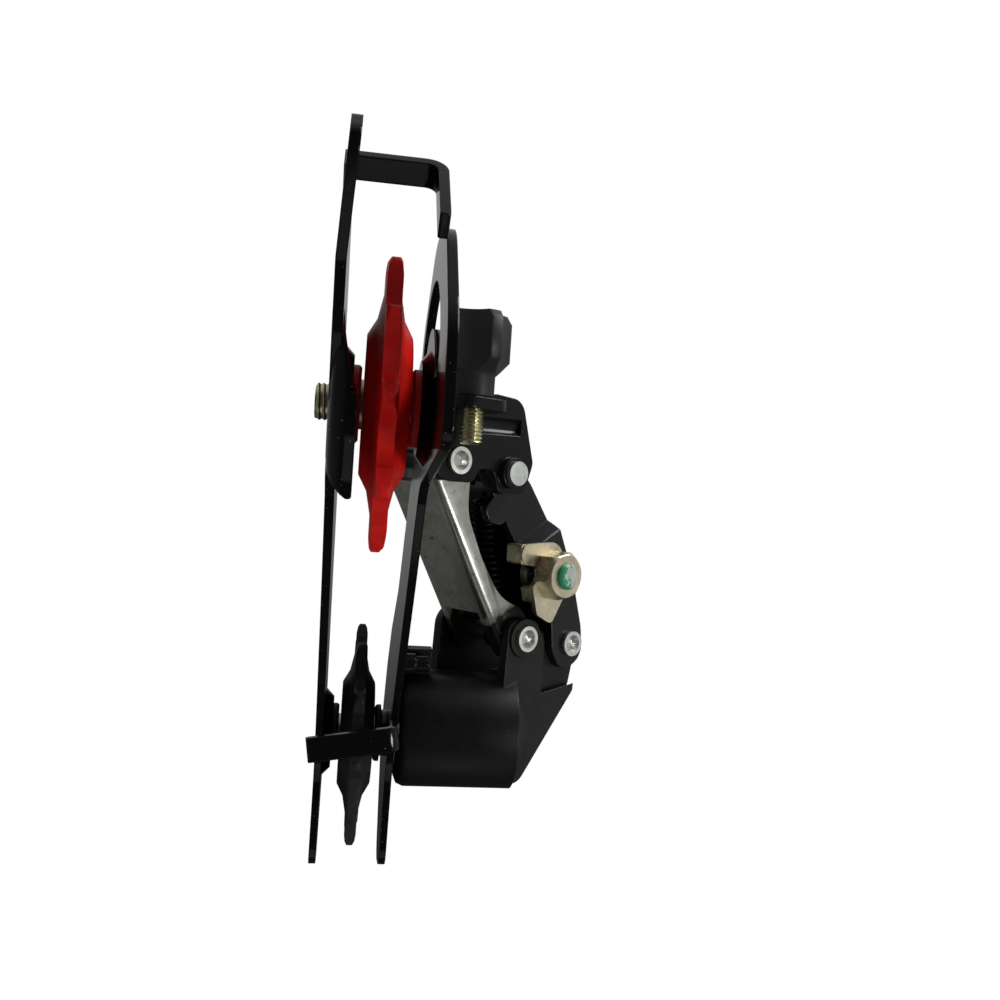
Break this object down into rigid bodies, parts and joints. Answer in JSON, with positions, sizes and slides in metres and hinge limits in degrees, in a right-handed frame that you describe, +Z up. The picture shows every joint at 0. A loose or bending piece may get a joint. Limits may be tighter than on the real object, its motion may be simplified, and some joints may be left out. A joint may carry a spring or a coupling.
{
  "type": "bicycle rear derailleur",
  "caption": "Rear derailleur with a slanted pivoting link pair, spring knuckle, cable adjuster and clamp, and a long cage holding toothed guide and tension wheels.",
  "frame": {"origin": "on the hanger bolt's axis, at the outer face of the frame's hanger", "axes": "+X forward on the bicycle, +Y inboard (to the wheel), +Z up"},
  "size_m": [0.1585, 0.0638, 0.1099],
  "materials": {
    "bracket": "semi-gloss black",
    "bolt_black": "black",
    "link_bright": "bright zinc plate",
    "link_black": "semi-gloss black",
    "knuckle": "satin black",
    "rivet": "plated, satin",
    "spring": "black",
    "plated": "zinc plated",
    "screw": "pale yellow plate",
    "knob": "satin",
    "wheel_black": "satin",
    "wheel_red": "semi-gloss",
    "bush": "ground",
    "cap_black": "satin",
    "cage": "gloss black"
  },
  "bodies": {
    "bracket": {"bracket": "bracket", "hanger_bolt": "bolt_black", "upper_inner_rivet": "rivet", "upper_outer_pin": "rivet"},
    "inner_link": {"inner_link": "link_bright", "return_spring": "spring"},
    "outer_link": {"outer_link": "link_black", "clamp_plate": "plated", "clamp_nut": "plated", "clamp_bolt": "plated"},
    "knuckle": {"knuckle": "knuckle", "lower_inner_rivet": "rivet", "lower_outer_rivet": "rivet"},
    "cage": {"inner_plate": "cage", "outer_plate": "cage", "cage_axle": "rivet", "stop_pin": "bolt_black", "guide_bush": "bush", "tension_bush": "bush", "guide_caps": "cap_black", "tension_caps": "cap_black", "guide_bolt": "bolt_black", "tension_bolt": "plated"},
    "guide_wheel": {"guide_wheel": "wheel_black"},
    "tension_wheel": {"tension_wheel": "wheel_red"},
    "adjuster": {"adjuster_knob": "knob", "adjuster_screw": "screw"}
  },
  "joints": [
    {"name": "link_swing", "type": "hinge", "parent": "bracket", "child": "inner_link", "pos_m": [-0.02117, -0.00008, -0.01987], "axis": [0.732, 0.5592, 0.3892], "range_deg": [0, 48], "stiffness_Nm_per_rad": 0.8, "springref_deg": -51.57, "deforming": ["return_spring"]},
    {"name": "outer_link_swing", "type": "hinge", "parent": "bracket", "child": "outer_link", "pos_m": [-0.01293, -0.01251, -0.01751], "axis": [0.732, 0.5592, 0.3892], "range_deg": [0, 48]},
    {"name": "knuckle_level", "type": "hinge", "parent": "inner_link", "child": "knuckle", "pos_m": [0.00889, -0.01958, -0.04839], "axis": [0.732, 0.5592, 0.3892], "range_deg": [-48, 0]},
    {"name": "cage_turn", "type": "hinge", "parent": "knuckle", "child": "cage", "pos_m": [0.01478, -0.0081, -0.0704], "axis": [0, -1, 0], "range_deg": [0, 110], "stiffness_Nm_per_rad": 0.3, "springref_deg": -68.75},
    {"name": "guide_spin", "type": "hinge", "parent": "cage", "child": "guide_wheel", "pos_m": [0.00607, 0.011, -0.07424], "axis": [0, 1, 0], "continuous": true},
    {"name": "tension_spin", "type": "hinge", "parent": "cage", "child": "tension_wheel", "pos_m": [-0.08135, 0.011, -0.04557], "axis": [0, 1, 0], "continuous": true},
    {"name": "adjuster_turn", "type": "hinge", "parent": "bracket", "child": "adjuster", "pos_m": [-0.04288, -0.00864, -0.00876], "axis": [-0.4695, 0, 0.8829], "continuous": true}
  ],
  "couplings": [
    {"joint": "outer_link_swing", "follows": "link_swing", "ratio": 1},
    {"joint": "knuckle_level", "follows": "link_swing", "ratio": -1}
  ]
}
